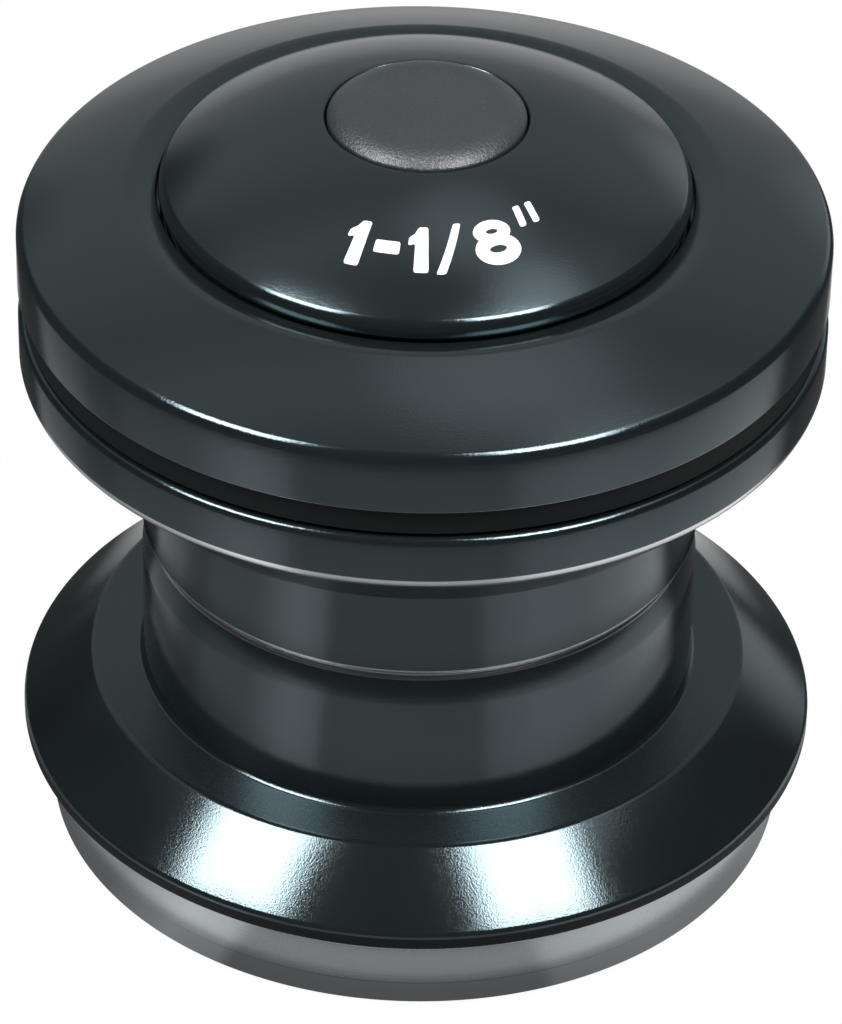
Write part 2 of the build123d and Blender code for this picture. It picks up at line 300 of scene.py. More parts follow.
@dataclass(frozen=True)
class Finish:
    """A surface finish with fine grain and, on turned metal, fine rings.

    The first tone and the second one are mixed by a soft cloud, and the specks lighten it. Sizes in metres.
    """

    name: str
    tone: tuple[float, float, float]
    second_tone: tuple[float, float, float]
    smoothest: float
    roughest: float
    grain_depth: float
    grain_size: float = 0.0002
    metallic: float = 0.0
    ring_depth: float = 0.0
    speck: float = 0.0
    speck_tone: tuple[float, float, float] = (0.5, 0.5, 0.5)
    specular: float = 0.5

    def material(self, effects: Effects) -> bpy.types.Material:
        """Builds the material.

        Args:
            effects: the shared node groups.

        Returns:
            The new material.
        """
        material = bpy.data.materials.new(self.name)
        material.use_nodes = True
        graph = Graph(material.node_tree)
        grain = graph.add("ShaderNodeGroup", {"node_tree": effects.grain}, Size=self.grain_size)
        colour = graph.blend(grain.outputs["Cloud"], (*self.tone, 1), (*self.second_tone, 1))
        if self.speck:
            share = graph.maths("MULTIPLY", grain.outputs["Speck"], self.speck)
            colour = graph.blend(share, colour, (*self.speck_tone, 1))
        rough = graph.spread(grain.outputs["Height"], self.smoothest, self.roughest)
        bump = graph.add("ShaderNodeBump", Height=grain.outputs["Height"], Strength=1.0,
                         Distance=self.grain_depth)
        if self.ring_depth:
            rings = graph.add("ShaderNodeGroup", {"node_tree": effects.turning})
            bump = graph.add("ShaderNodeBump", Height=rings.outputs[0], Strength=1.0,
                             Distance=self.ring_depth, Normal=bump.outputs[0])
        shader = graph.add("ShaderNodeBsdfPrincipled", Base_Color=colour, Roughness=rough,
                           Normal=bump.outputs[0], Metallic=self.metallic, Specular_IOR_Level=self.specular)
        end = graph.add("ShaderNodeOutputMaterial")
        graph.feed(end.inputs["Surface"], shader.outputs[0])
        return material


BLACK_ANODISED = Finish(
    "black_anodised", tone=(0.069, 0.091, 0.098), second_tone=(0.062, 0.082, 0.088), metallic=0.88,
    smoothest=0.08, roughest=0.14, grain_size=0.00012, grain_depth=0.000008,
)
CAP_ANODISED = replace(
    BLACK_ANODISED, name="cap_anodised", smoothest=0.1, roughest=0.16, grain_depth=0.000006,
)
BLASTED_BLACK = replace(
    BLACK_ANODISED, name="blasted_black", smoothest=0.22, roughest=0.32, grain_size=0.00011,
    grain_depth=0.000006,
)
# Painted shade: a near-black, dull band that stands in for the shade that the lower cup's lip mirrors.
PAINTED_SHADE_EDGE = Finish(
    "painted_shade_edge", tone=(0.006, 0.0065, 0.007), second_tone=(0.004, 0.0045, 0.005),
    smoothest=0.5, roughest=0.65, grain_depth=0.000004, specular=0.2,
)
# Painted highlight: a pale metal band that stands in for the bright lines along edges that face down.
PAINTED_HIGHLIGHT_EDGE = Finish(
    "painted_highlight_edge", tone=(0.78, 0.8, 0.82), second_tone=(0.68, 0.7, 0.72), metallic=1.0,
    smoothest=0.18, roughest=0.3, grain_depth=0.000002,
)
PLUG_GREY = Finish(
    "plug_grey", tone=(0.02, 0.027, 0.031), second_tone=(0.014, 0.019, 0.022),
    smoothest=0.34, roughest=0.5, grain_size=0.00018, grain_depth=0.00005,
    speck=0.3, speck_tone=(0.09, 0.1, 0.105), specular=1.0,
)
SEAL_BLACK = Finish(
    "seal_black", tone=(0.004, 0.0065, 0.0065), second_tone=(0.005, 0.008, 0.008),
    smoothest=0.5, roughest=0.7, grain_size=0.0003, grain_depth=0.00001, specular=0.15,
)
SHIELD_BLACK = Finish(
    "shield_black", tone=(0.03, 0.03, 0.034), second_tone=(0.024, 0.024, 0.027),
    smoothest=0.4, roughest=0.55, grain_size=0.0003, grain_depth=0.00001,
)
SATIN_STEEL = Finish(
    "satin_steel", tone=(0.6, 0.64, 0.67), second_tone=(0.54, 0.58, 0.61), metallic=1.0,
    smoothest=0.2, roughest=0.32, grain_depth=0.000002, ring_depth=0.000003,
)
GROUND_STEEL = Finish(
    "ground_steel", tone=(0.62, 0.63, 0.64), second_tone=(0.57, 0.58, 0.59), metallic=1.0,
    smoothest=0.12, roughest=0.22, grain_depth=0.000001, ring_depth=0.000002,
)
TURNED_ALLOY = Finish(
    "turned_alloy", tone=(0.68, 0.69, 0.7), second_tone=(0.62, 0.63, 0.65), metallic=1.0,
    smoothest=0.25, roughest=0.38, grain_depth=0.000002, ring_depth=0.000004,
)
BALL_STEEL = Finish(
    "ball_steel", tone=(0.7, 0.7, 0.71), second_tone=(0.66, 0.66, 0.67), metallic=1.0,
    smoothest=0.05, roughest=0.09, grain_size=0.0003, grain_depth=0.0000003,
)
PRINT_WHITE = Finish(
    "print_white", tone=(0.86, 0.86, 0.85), second_tone=(0.8, 0.8, 0.79),
    smoothest=0.45, roughest=0.6, grain_depth=0.000004,
)


@dataclass(frozen=True)
class Corner:
    """A corner of a turned section, in metres, and how far back its rounding starts."""

    radius: float
    height: float
    round_off: float = 0.0


def point(radius: float, height: float, round_off: float = 0.0) -> Corner:
    """A section's corner from millimetres."""
    return Corner(radius * MM, height * MM, round_off * MM)


@dataclass(frozen=True)
class EdgeBand:
    """A ring of a turned piece that has its own finish, by default a pale metal band painted as a highlight
    line. Sizes in millimetres.
    """

    radius: float
    height: float
    reach: float
    finish: Finish = PAINTED_HIGHLIGHT_EDGE

    def holds(self, place: Vector) -> bool:
        """Says whether a place on the piece lies in the ring."""
        across = math.hypot(place.x, place.y) / MM - self.radius
        return math.hypot(across, place.z / MM - self.height) < self.reach


def deselect() -> None:
    """Deselects every object, so that an operator acts on new work alone."""
    bpy.ops.object.select_all(action="DESELECT")


def edit(action: Callable[[], None]) -> None:
    """Runs operators on the active object in edit mode.

    Args:
        action: what to do there.
    """
    bpy.ops.object.mode_set(mode="EDIT")
    action()
    bpy.ops.object.mode_set(mode="OBJECT")


def pick(piece: bpy.types.Object, wanted: Callable[[Vector], bool]) -> None:
    """Selects the vertices of a piece in edit mode by their place.

    Args:
        piece: the object in edit mode.
        wanted: says whether a vertex's place is selected.
    """
    mesh = bmesh.from_edit_mesh(piece.data)
    for vertex in mesh.verts:
        vertex.select = wanted(vertex.co)
    mesh.select_flush_mode()
    bmesh.update_edit_mesh(piece.data)


def turn(name: str, corners: Sequence[Corner]) -> bpy.types.Object:
    """Turns a closed section about the steering axis.

    Args:
        name: the piece's name.
        corners: the section's corners in order.

    Returns:
        The turned piece.
    """
    deselect()
    bpy.ops.mesh.primitive_circle_add(vertices=len(corners), radius=MM)
    piece = bpy.context.active_object
    piece.name = name
    for vertex, corner in zip(piece.data.vertices, corners):
        vertex.co = (corner.radius, 0.0, corner.height)

    def shape() -> None:
        """Rounds the corners and spins the section."""
        bpy.ops.mesh.select_mode(type="VERT")
        for round_off in sorted({c.round_off for c in corners if c.round_off}):
            places = [Vector((c.radius, 0, c.height)) for c in corners if c.round_off == round_off]
            pick(piece, lambda co: any((co - p).length < TOUCH for p in places))
            bpy.ops.mesh.bevel(offset=round_off, segments=ROUND_FLATS, profile=0.5, affect="VERTICES")
        bpy.ops.mesh.select_all(action="SELECT")
        bpy.ops.mesh.spin(steps=TURN_STEPS, angle=math.tau, center=(0, 0, 0), axis=(0, 0, 1))
        bpy.ops.mesh.select_all(action="SELECT")
        bpy.ops.mesh.remove_doubles(threshold=TOUCH)
        bpy.ops.mesh.normals_make_consistent(inside=False)

    edit(shape)
    bpy.ops.object.shade_smooth_by_angle(angle=SMOOTH_ANGLE)
    return piece


def outer_radius(node: str) -> float:
    """A CAD node's outer radius, in millimetres."""
    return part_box(node)[1].x / MM


@dataclass
class TurnedPiece:
    """A piece that stands for one CAD node and is turned from a section."""

    node: str
    body: Body
    slot: Slot
    finish: Finish

    def span(self) -> tuple[float, float, float]:
        """Reads the node's size.

        Returns:
            Its outer radius, lowest height and highest height, in millimetres.
        """
        low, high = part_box(self.node)
        return high.x / MM, low.z / MM, high.z / MM

    def section(self) -> list[Corner]:
        """Gives the section's corners in order."""
        raise NotImplementedError

    def edge_bands(self) -> list[EdgeBand]:
        """Gives the edges with their own finish, which some pieces lack."""
        return []

    def build(self, effects: Effects) -> bpy.types.Object:
        """Turns the piece and dresses it.

        Args:
            effects: the shared node groups.

        Returns:
            The finished piece.
        """
        piece = turn(f"{self.node}_turned", self.section())
        piece.data.materials.append(self.finish.material(effects))
        for number, band in enumerate(self.edge_bands(), start=1):
            piece.data.materials.append(band.finish.material(effects))
            for face in piece.data.polygons:
                if band.holds(face.center):
                    face.material_index = number
        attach(piece, self.body.value)
        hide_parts(self.node)
        return piece


def dome_drop(radius: float, dome: float) -> float:
    """How far a dome has fallen from its top at a radius from the axis."""
    return dome - math.sqrt(dome**2 - radius**2)


def dome_corners(crest: float, dome: float, start: float, end: float, flats: int) -> list[Corner]:
    """Lays corners along a dome. Sizes in millimetres.

    Args:
        crest: the dome's height on the axis.
        dome: its radius.
        start: how far from the axis the first corner is.
        end: how far from the axis the last corner is.
        flats: how many flats lie between them.

    Returns:
        The corners in order, with both ends.
    """
    places = [start + (end - start) * i / flats for i in range(flats + 1)]
    return [point(place, crest - dome_drop(place, dome)) for place in places]


def arc(start: tuple[float, float], end: tuple[float, float], radius: float,
        flats: int) -> list[Corner]:
    """Lays corners along an arc that bulges to the right of the way from its start to its end.

    Args:
        start: the arc's first place, as radius and height in millimetres.
        end: its last place.
        radius: the arc's own radius.
        flats: how many flats it has.

    Returns:
        The corners between the two ends.
    """
    way = Vector(end) - Vector(start)
    outward = Vector((way.y, -way.x)).normalized()
    middle = (Vector(start) + Vector(end)) / 2 - outward * math.sqrt(radius**2 - way.length_squared / 4)
    first = Vector(start) - middle
    sweep = first.angle_signed(Vector(end) - middle)
    spokes = (Matrix.Rotation(-sweep * i / flats, 2) @ first for i in range(1, flats))
    return [point(middle.x + spoke.x, middle.y + spoke.y) for spoke in spokes]


@dataclass
class CapPlug(TurnedPiece):
    """The soft plug in the cap's recess. Sizes in millimetres."""

    node: str = "cap_plug"
    body: Body = Body.COVER_SIDE
    slot: Slot = Slot.PLUG_RUBBER
    finish: Finish = PLUG_GREY
    crown: float = 0.15
    edge_width: float = 1.9
    edge_drop: float = 0.75
    edge_radius: float = 2.4
    rim_edge: float = 0.1
    foot_edge: float = 0.15
    flats: int = 8

    def section(self) -> list[Corner]:
        """Gives the section: a disc with a slightly crowned face and a pillow edge.

        Returns:
            The corners in order.
        """
        radius, foot, top = self.span()
        face = radius - self.edge_width
        rim = (radius, top - self.crown - self.edge_drop)
        shoulder = (face, top - self.crown)
        ball = (face**2 + self.crown**2) / (2 * self.crown)
        return [
            point(0, foot),
            point(radius, foot, self.foot_edge),
            point(*rim, self.rim_edge),
            *arc(rim, shoulder, self.edge_radius, self.flats),
            *dome_corners(top, ball, face, 0.0, self.flats),
        ]


@dataclass
class TopCap(TurnedPiece):
    """The domed cap, hollow, with an undercut wall and a recess for the plug. Sizes in millimetres."""

    node: str = "top_cap"
    body: Body = Body.COVER_SIDE
    slot: Slot = Slot.BLACK_ALLOY
    finish: Finish = CAP_ANODISED
    dome: float = 28.0
    dome_inset: float = 0.02
    dome_flats: int = 24
    skin: float = 2.2
    edge: float = 0.6
    wall: float = 1.9
    wall_height: float = 1.85
    wall_edge: float = 0.12
    rim_height: float = 0.8
    undercut: float = 0.3
    hollow_edge: float = 0.15
    hollow_flats: int = 6
    recess_clearance: float = 0.12
    recess_lip: float = 0.1
    recess_depth: float = 2.735
    lip_edge: float = 0.06
    boss_wall: float = 2.0
    boss_floor: float = 1.8
    boss_edge: float = 0.2
    bolt_hole: float = 3.2
    bolt_edge: float = 0.1

    @cached_property
    def recess(self) -> float:
        """Radius of the recess for the plug, in millimetres."""
        return outer_radius("cap_plug") + self.recess_clearance

    @cached_property
    def crest(self) -> float:
        """Height that the dome would have on the axis, in millimetres."""
        return self.span()[2] + dome_drop(self.recess + self.recess_lip, self.dome)

    def surface(self, radius: float) -> float:
        """Height of the dome at a radius, in millimetres."""
        return self.crest - dome_drop(radius, self.dome)

    def section(self) -> list[Corner]:
        """Gives the section, from the recess's mouth down, under the dome and back over it.

        Returns:
            The corners in order.
        """
        radius, foot, top = self.span()
        lip = self.recess + self.recess_lip
        seat = top - self.recess_depth
        boss = self.recess + self.boss_wall
        hollow = radius - self.wall
        rim = foot + self.wall_height - self.rim_height
        under = dome_corners(self.crest - self.skin, self.dome - self.skin, boss, hollow, self.hollow_flats)
        over = dome_corners(self.crest, self.dome, radius - self.dome_inset, lip, self.dome_flats)
        return [
            point(lip, top, self.lip_edge),
            point(self.recess, top - self.recess_lip),
            point(self.recess, seat),
            point(self.bolt_hole, seat, self.bolt_edge),
            point(self.bolt_hole, seat - self.boss_floor, self.bolt_edge),
            point(boss, seat - self.boss_floor, self.boss_edge),
            *under,
            point(hollow, foot, self.hollow_edge),
            point(radius - self.undercut, foot, self.wall_edge),
            point(radius - self.undercut, rim),
            point(radius, rim, self.wall_edge),
            point(radius, self.surface(radius), self.edge),
            *over[1:-1],
        ]


@dataclass
class BearingCover(TurnedPiece):
    """The conical cover with a dish round the cap and a seal groove in its bore. Sizes in millimetres."""

    node: str = "bearing_cover"
    body: Body = Body.COVER_SIDE
    slot: Slot = Slot.BLACK_ALLOY
    finish: Finish = BLACK_ANODISED
    side_height: float = 3.85
    edge: float = 0.5
    foot_edge: float = 0.2
    cap_clearance: float = 0.12
    dish_width: float = 1.68
    dish_depth: float = 0.45
    dish_edge: float = 0.35
    recess_edge: float = 0.12
    bore_room: float = 0.4
    bore_edge: float = 0.15
    hub_clearance: float = 0.1
    hub_wall: float = 1.6
    hub_edge: float = 0.15
    outer_wall: float = 2.4
    inner_edge: float = 0.12
    skin: float = 2.0
    band_share: float = 0.55

    def section(self) -> list[Corner]:
        """Gives the section, up the side, over the cone, down the dish and through the bore.

        Returns:
            The corners in order.
        """
        radius, foot, top = self.span()
        recess = outer_radius("top_cap") + self.cap_clearance
        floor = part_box("top_cap")[0].z / MM
        bore = STEERER + self.bore_room
        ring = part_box("compression_ring")[1]
        seal_low, seal_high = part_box("steerer_seal")
        hub_bore = ring.x / MM + self.hub_clearance
        hub = hub_bore + self.hub_wall
        inner = radius - self.outer_wall
        side_top = foot + self.side_height
        slope = (top - side_top) / (radius - recess - self.dish_width)
        under = side_top - self.skin
        return [
            point(radius, foot, self.foot_edge),
            point(radius, side_top, self.edge),
            point(recess + self.dish_width, top, self.dish_edge),
            point(recess, top - self.dish_depth, self.recess_edge),
            point(recess, floor),
            point(bore, floor, self.bore_edge),
            point(bore, seal_high.z / MM),
            point(seal_high.x / MM, seal_high.z / MM),
            point(seal_high.x / MM, seal_low.z / MM),
            point(bore, seal_low.z / MM),
            point(bore, ring.z / MM),
            point(hub_bore, ring.z / MM),
            point(hub_bore, foot, self.hub_edge),
            point(hub, foot, self.hub_edge),
            point(hub, under + slope * (radius - hub)),
            point(inner, under + slope * self.outer_wall),
            point(inner, foot, self.inner_edge),
        ]

    def edge_bands(self) -> list[EdgeBand]:
        """Gives the lower edge of the side, a pale band painted as a highlight line."""
        radius, foot, _ = self.span()
        return [EdgeBand(radius, foot, self.foot_edge * self.band_share)]


@dataclass
class Cup(TurnedPiece):
    """What both cups have: press-in skirt, seal groove, bearing pocket and bore. Sizes in millimetres."""

    body: Body = Body.CUPS
    slot: Slot = Slot.BLACK_ALLOY
    finish: Finish = BLACK_ANODISED
    race: str = ""
    skirt_edge: float = 0.5
    relief: float = 0.25
    relief_edge: float = 0.1
    groove_width: float = 1.7
    groove_depth: float = 1.5
    pocket_room: float = 0.02
    pocket_edge: float = 0.15
    bore_room: float = 1.0
    bore_edge: float = 0.25
    floor: float = 1.5
    seat: float = 1.82
    band_share: float = 0.9

    @property
    def skirt(self) -> float:
        """Radius of the press-in skirt, in millimetres."""
        return MOUNT_RADII[f"{self.node}_skirt"]

    def inside(self, groove: float, mouth: float, floor: float, end: float) -> list[Corner]:
        """Gives the corners from the seal groove through the pocket to the end of the bore.

        Args:
            groove: the seal groove's outer radius.
            mouth: height of the face that the groove and the pocket open in.
            floor: height of the pocket's floor.
            end: height of the skirt's end.

        Returns:
            The corners in order.
        """
        way = math.copysign(1.0, mouth - floor)
        bottom = mouth - way * self.groove_depth
        pocket = outer_radius(self.race) + self.pocket_room
        bore = STEERER + self.bore_room
        return [
            point(groove, mouth, self.pocket_edge),
            point(groove, bottom),
            point(groove - self.groove_width, bottom),
            point(groove - self.groove_width, mouth, self.pocket_edge),
            point(pocket, mouth, self.pocket_edge),
            point(pocket, floor + way * self.seat),
            point(pocket - self.seat, floor),
            point(bore, floor, self.pocket_edge),
            point(bore, end, self.bore_edge),
        ]


@dataclass
class UpperCup(Cup):
    """The upper cup: rim and cone up, skirt down. Sizes in millimetres."""

    node: str = "upper_cup"
    race: str = "upper_outer_race"
    skirt_length: float = 8.3
    rim_edge: float = 0.35
    top_edge: float = 0.45
    shoulder_width: float = 3.25
    shoulder_edge: float = 0.25
    cone_height: float = 3.97
    rim_wall: float = 1.03

    def section(self) -> list[Corner]:
        """Gives the section, up the outside and down the pocket and the bore.

        Returns:
            The corners in order.
        """
        radius, foot, top = self.span()
        shoulder = foot + self.skirt_length
        return [
            point(self.skirt, foot, self.skirt_edge),
            point(self.skirt, shoulder - self.relief, self.relief_edge),
            point(self.skirt + self.relief, shoulder, self.relief_edge),
            point(self.skirt + self.shoulder_width, shoulder, self.shoulder_edge),
            point(radius, shoulder + self.cone_height, self.rim_edge),
            point(radius, top, self.top_edge),
            *self.inside(radius - self.rim_wall, top, shoulder + self.floor, foot),
        ]

    def edge_bands(self) -> list[EdgeBand]:
        """Gives the two edges that face down, each a pale band painted as a highlight line.

        Returns:
            The rim's edge and the skirt's.
        """
        radius, foot, _ = self.span()
        return [
            EdgeBand(radius, foot + self.skirt_length + self.cone_height, self.rim_edge * self.band_share),
            EdgeBand(self.skirt, foot, self.skirt_edge * self.band_share),
        ]


@dataclass
class LowerCup(Cup):
    """The lower cup: skirt up with a lead-in taper, cone and thin lip down. Sizes in millimetres."""

    node: str = "lower_cup"
    race: str = "lower_outer_race"
    skirt_length: float = 10.2
    lead_in: float = 2.15
    lead_in_edge: float = 0.15
    taper: float = 0.5
    shoulder_width: float = 3.2
    shoulder_edge: float = 0.2
    cone_height: float = 3.45
    lip_wall: float = 1.325
    lip_edge: float = 0.25
    foot_edge: float = 0.22
    groove_depth: float = 1.2

    def section(self) -> list[Corner]:
        """Gives the section, down the outside and up the pocket and the bore.

        Returns:
            The corners in order.
        """
        radius, foot, top = self.span()
        shoulder = top - self.skirt_length
        return [
            point(self.skirt, shoulder + self.relief, self.relief_edge),
            point(self.skirt + self.relief, shoulder, self.relief_edge),
            point(self.skirt + self.shoulder_width, shoulder, self.shoulder_edge),
            point(radius, shoulder - self.cone_height, self.lip_edge),
            point(radius, foot, self.foot_edge),
            *self.inside(radius - self.lip_wall, foot, shoulder - self.floor, top),
            point(self.skirt - self.taper, top, self.skirt_edge),
            point(self.skirt, top - self.lead_in, self.lead_in_edge),
        ]

    def edge_bands(self) -> list[EdgeBand]:
        """Gives the parts with their own finish.

        Returns:
            The pale band painted as a highlight at the top of the lead-in taper, the blasted shoulder and
            the lip painted dark as shade.
        """
        radius, foot, top = self.span()
        shoulder = top - self.skirt_length
        lip = shoulder - self.cone_height - self.lip_edge - foot
        reach = self.shoulder_width / 2
        return [
            EdgeBand(self.skirt - self.taper, top, self.skirt_edge * self.band_share),
            EdgeBand(self.skirt + reach, shoulder, reach - self.relief, BLASTED_BLACK),
            EdgeBand(radius, foot + lip / 2, lip / 2, PAINTED_SHADE_EDGE),
        ]


@dataclass
class CrownRace(TurnedPiece):
    """The pale dished ring under the lower cup. Sizes in millimetres."""

    node: str = "crown_race"
    body: Body = Body.CROWN_SIDE
    slot: Slot = Slot.PALE_STEEL
    finish: Finish = SATIN_STEEL
    base: float = 1.6
    step: float = 0.15
    step_foot: float = 0.05
    step_edge: float = 0.06
    rim_wall: float = 1.9
    gap: float = 0.3
    land: float = 0.7
    edge: float = 0.28
    inner_edge: float = 0.15
    cone_edge: float = 0.1

    def section(self) -> list[Corner]:
        """Gives the section, under the base, up the rim and down to the cone of the bearing's seat.

        Returns:
            The corners in order.
        """
        radius, foot, top = self.span()
        bore = MOUNT_RADII["crown_race_bore"]
        chamfer_foot = outer_radius("compression_ring")
        seat = foot + self.base + self.gap
        cone = chamfer_foot - bore - self.land
        return [
            point(bore, foot, self.edge),
            point(radius - self.step, foot, self.edge),
            point(radius - self.step, foot + self.base, self.step_foot),
            point(radius, foot + self.base + self.step, self.step_edge),
            point(radius, top, self.edge),
            point(radius - self.rim_wall, top, self.inner_edge),
            point(radius - self.rim_wall, foot + self.base),
            point(chamfer_foot, foot + self.base),
            point(chamfer_foot, seat),
            point(bore + self.land, seat + cone, self.cone_edge),
            point(bore, seat + cone, self.inner_edge),
        ]


@dataclass(frozen=True)
class Stroke:
    """A straight-sided figure of the print: its place on the arc in degrees, its outline in millimetres."""

    place: float
    outline: tuple[tuple[float, float], ...]


@dataclass(frozen=True)
class Loop:
    """A round figure of the print: its place on the arc in degrees, and its sizes in millimetres."""

    place: float
    middle: float
    outer: tuple[float, float]
    hole: tuple[float, float]
    lift: float


ONE = (
    (-0.39, 0.0), (0.39, 0.0), (0.39, 2.8), (-0.22, 2.8),
    (-0.45, 2.35), (-0.8, 2.1), (-0.8, 1.6), (-0.39, 1.75),
)
HYPHEN = ((-0.74, 1.0), (0.74, 1.0), (0.74, 1.78), (-0.74, 1.78))
SLASH = ((-0.88, -0.1), (-0.38, -0.1), (0.88, 2.98), (0.36, 2.98))
QUOTE = ((-0.37, 2.0), (0.1, 2.0), (0.4, 3.35), (-0.14, 3.35))


def face_up(figure: bpy.types.Object) -> None:
    """Turns a flat figure's faces up.

    Args:
        figure: the figure, in edit mode.
    """
    bpy.ops.mesh.select_all(action="SELECT")
    if bmesh.from_edit_mesh(figure.data).faces[:][0].normal.z < 0:
        bpy.ops.mesh.flip_normals()


@dataclass
class SizeMark:
    """The plain size mark printed on the cap, along an arc about the axis. Sizes in millimetres."""

    cap: TopCap
    strokes: tuple[Stroke, ...] = (
        Stroke(-19.3, ONE), Stroke(-10.8, HYPHEN), Stroke(-0.8, ONE), Stroke(7.5, SLASH),
        Stroke(32.3, QUOTE), Stroke(37.2, QUOTE),
    )
    stroke_cuts: int = 3
    loops: tuple[Loop, ...] = (
        Loop(21.1, middle=2.18, outer=(1.2, 0.74), hole=(0.38, 0.15), lift=0.0),
        Loop(21.1, middle=1.06, outer=(1.32, 0.96), hole=(0.5, 0.22), lift=0.006),
    )
    loop_sides: int = 56
    loop_cuts: int = 2
    baseline: float = 12.85
    arc_radius: float = 11.45
    corner: float = 0.14
    film: float = 0.014

    def build(self, effects: Effects) -> bpy.types.Object:
        """Draws the figures flat, joins them and lays them on the dome.

        Args:
            effects: the shared node groups.

        Returns:
            The print.
        """
        figures = [self.draw_stroke(stroke) for stroke in self.strokes]
        figures += [self.draw_loop(loop) for loop in self.loops]
        deselect()
        for figure in figures:
            figure.select_set(True)
        bpy.ops.object.join()
        mark = bpy.context.active_object
        mark.name = "size_mark"
        for vertex in mark.data.vertices:
            along, up, lift = vertex.co / MM
            radius = self.baseline - up
            turn_by = along / self.arc_radius
            height = self.cap.surface(radius) + self.film + lift
            vertex.co = Vector((radius * math.sin(turn_by), -radius * math.cos(turn_by), height)) * MM
        bpy.ops.object.modifier_add(type="SOLIDIFY")
        film = mark.modifiers[-1]
        film.thickness = self.film * MM
        film.offset = -1.0
        bpy.ops.object.modifier_apply(modifier=film.name)
        mark.data.materials.append(PRINT_WHITE.material(effects))
        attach(mark, Body.COVER_SIDE.value)
        return mark

    def draw_stroke(self, stroke: Stroke) -> bpy.types.Object:
        """Draws a figure with straight sides and rounded corners, flat.

        Args:
            stroke: the figure.

        Returns:
            The flat figure.
        """
        deselect()
        bpy.ops.mesh.primitive_circle_add(vertices=len(stroke.outline), radius=MM, fill_type="NGON")
        figure = bpy.context.active_object
        start = math.radians(stroke.place) * self.arc_radius
        for vertex, (along, up) in zip(figure.data.vertices, stroke.outline):
            vertex.co = Vector((start + along, up, 0)) * MM

        def shape() -> None:
            """Rounds the corners and cuts the figure fine enough to follow the dome."""
            bpy.ops.mesh.select_all(action="SELECT")
            bpy.ops.mesh.bevel(offset=self.corner * MM, segments=ROUND_FLATS, profile=0.5, affect="VERTICES")
            bpy.ops.mesh.select_all(action="SELECT")
            bpy.ops.mesh.quads_convert_to_tris()
            bpy.ops.mesh.subdivide(number_cuts=self.stroke_cuts)
            face_up(figure)

        edit(shape)
        return figure

    def draw_loop(self, loop: Loop) -> bpy.types.Object:
        """Draws a round figure with its hole, flat.

        Args:
            loop: the figure.

        Returns:
            The flat figure.
        """
        deselect()
        bpy.ops.mesh.primitive_circle_add(vertices=self.loop_sides, radius=MM)
        figure = bpy.context.active_object
        start = math.radians(loop.place) * self.arc_radius

        def shape() -> None:
            """Draws the hole in from the rim and cuts the ring fine enough to follow the dome."""
            bpy.ops.mesh.select_all(action="SELECT")
            bpy.ops.transform.resize(value=(*loop.outer, 1), center_override=(0, 0, 0))
            bpy.ops.mesh.extrude_region()
            narrow = [inside / outside for inside, outside in zip(loop.hole, loop.outer)]
            bpy.ops.transform.resize(value=(*narrow, 1), center_override=(0, 0, 0))
            bpy.ops.mesh.select_all(action="SELECT")
            bpy.ops.mesh.subdivide(number_cuts=self.loop_cuts)
            bpy.ops.transform.translate(value=Vector((start, loop.middle, loop.lift)) * MM)
            face_up(figure)

        edit(shape)
        return figure


@dataclass
class KeptNodes:
    """The CAD nodes that stay as they are, each with its finish."""

    single: dict[str, Finish] = field(default_factory=lambda: {
        "cover_seal": SEAL_BLACK,
        "crown_seal": SEAL_BLACK,
        "steerer_seal": SEAL_BLACK,
        "compression_ring": TURNED_ALLOY,
    })
    in_bearings: dict[str, Finish] = field(default_factory=lambda: {
        "outer_race": GROUND_STEEL,
        "inner_race": GROUND_STEEL,
        "ball_ring": BALL_STEEL,
        "open_shield": SHIELD_BLACK,
        "seat_shield": SHIELD_BLACK,
    })

    def dress(self, effects: Effects) -> None:
        """Gives each node its material.

        Args:
            effects: the shared node groups.
        """
        finishes = dict(self.single)
        for bearing in ("upper", "lower"):
            finishes |= {f"{bearing}_{node}": finish for node, finish in self.in_bearings.items()}
        made: dict[str, bpy.types.Material] = {}
        for node, finish in finishes.items():
            if finish.name not in made:
                made[finish.name] = finish.material(effects)
            slots = frame["nodes"][node].data.materials
            slots.clear()
            slots.append(made[finish.name])


@dataclass(frozen=True)
class Softbox:
    """A rectangular lamp that faces the headset: its direction from there, and its sizes in metres."""

    name: str
    towards: tuple[float, float, float]
    along: tuple[float, float, float]
    distance: float
    length: float
    width: float
    radiance: float

    def build(self, target: Vector) -> None:
        """Places the lamp.

        Args:
            target: the point that it faces.
        """
        back = Vector(self.towards).normalized()
        side = Vector(self.along)
        side = (side - back * side.dot(back)).normalized()
        data = bpy.data.lights.new(self.name, "AREA")
        data.shape = "RECTANGLE"
        data.size, data.size_y = self.length, self.width
        data.energy = self.radiance * math.pi * self.length * self.width
        lamp = bpy.data.objects.new(self.name, data)
        bpy.context.scene.collection.objects.link(lamp)
        turned = Matrix((side, back.cross(side), back)).transposed().to_4x4()
        lamp.matrix_world = Matrix.Translation(target + back * self.distance) @ turned
        lamp.visible_camera = False


@dataclass(frozen=True)
class RoomPatch:
    """A soft patch of the room: its direction, its angles in degrees and its level."""

    towards: tuple[float, float, float]
    inner: float
    outer: float
    level: float

    def level_at(self, graph: Graph, way: bpy.types.NodeSocket) -> bpy.types.NodeSocket:
        """Works out the patch's level in a direction.

        Args:
            graph: the world's graph.
            way: the direction's socket.

        Returns:
            The level's socket.
        """
        node = graph.add("ShaderNodeVectorMath", {"operation": "DOT_PRODUCT"})
        graph.feed(node.inputs[0], way)
        graph.feed(node.inputs[1], Vector(self.towards).normalized())
        return graph.spread(node.outputs["Value"], 0.0, self.level, math.cos(math.radians(self.outer)),
                            math.cos(math.radians(self.inner)))


